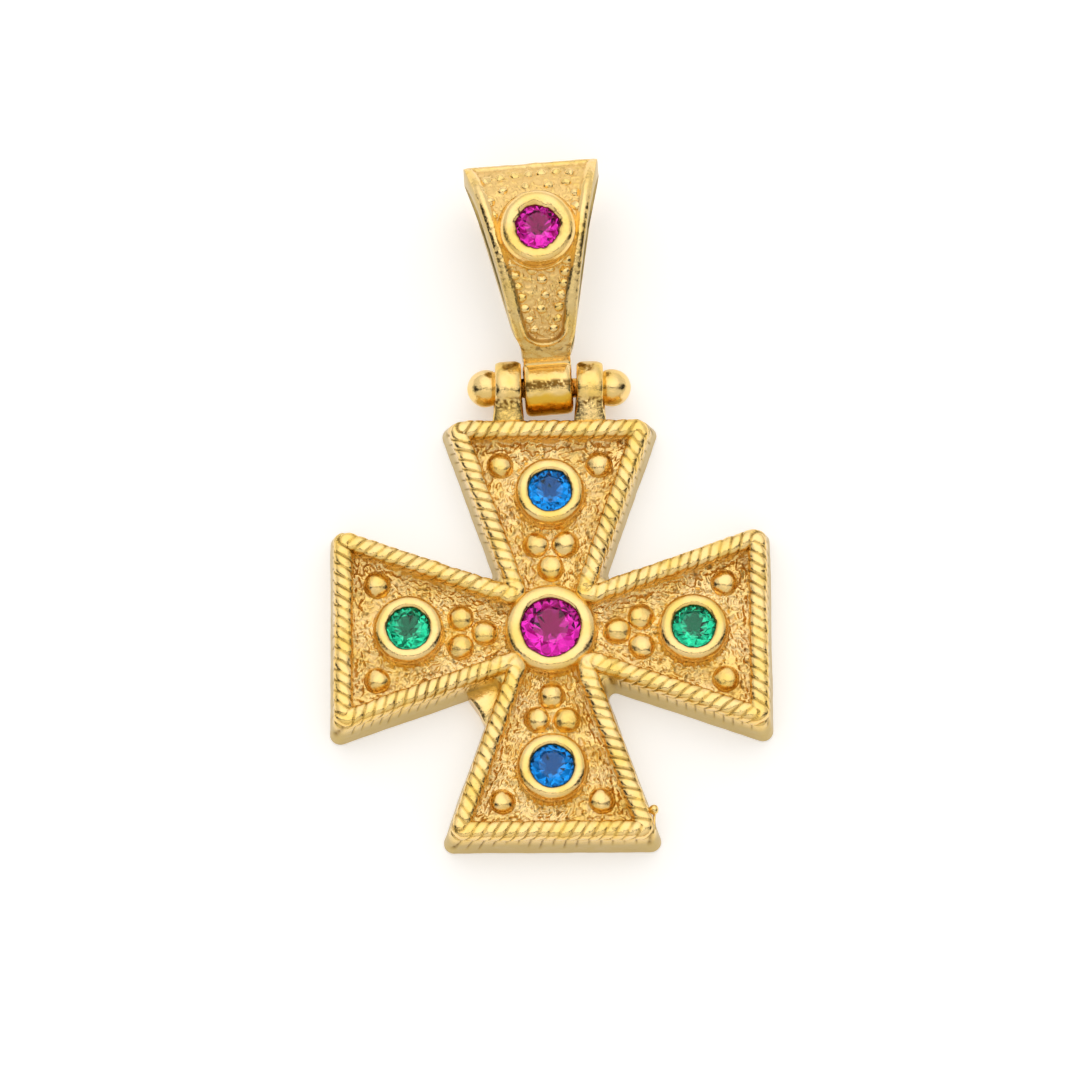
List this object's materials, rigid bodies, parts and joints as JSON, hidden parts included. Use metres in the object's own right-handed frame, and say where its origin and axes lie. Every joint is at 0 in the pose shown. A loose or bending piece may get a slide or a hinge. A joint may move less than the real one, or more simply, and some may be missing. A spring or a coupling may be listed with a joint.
{
  "type": "byzantine cross pendant with hinged bail",
  "caption": "Flared equal-armed cross pendant with a twisted rope border, granules, bezel-set round stones and a tapered bail on a ball-ended hinge pin.",
  "frame": {"origin": "centre of the flat back of the cross", "axes": "+Z out of the front of the cross, +Y from the centre of the cross towards the bail, +X to the right seen from the front"},
  "size_m": [0.0202, 0.0321, 0.0063],
  "materials": {
    "gold": "polished gold plate on cast silver, with a matt textured ground",
    "magenta_stone": "faceted magenta crystal",
    "blue_stone": "faceted blue crystal",
    "green_stone": "faceted green crystal"
  },
  "bodies": {
    "cross": {"cross_body": "gold", "hinge_pin": "gold", "centre_stone": "magenta_stone", "top_stone": "blue_stone", "bottom_stone": "blue_stone", "left_stone": "green_stone", "right_stone": "green_stone"},
    "bail": {"bail": "gold", "bail_stone": "magenta_stone"}
  },
  "joints": [
    {"name": "bail_hinge", "type": "hinge", "parent": "cross", "child": "bail", "pos_m": [0, 0.01162, 0.00125], "axis": [1, 0, 0], "range_deg": [-95, 98]}
  ]
}
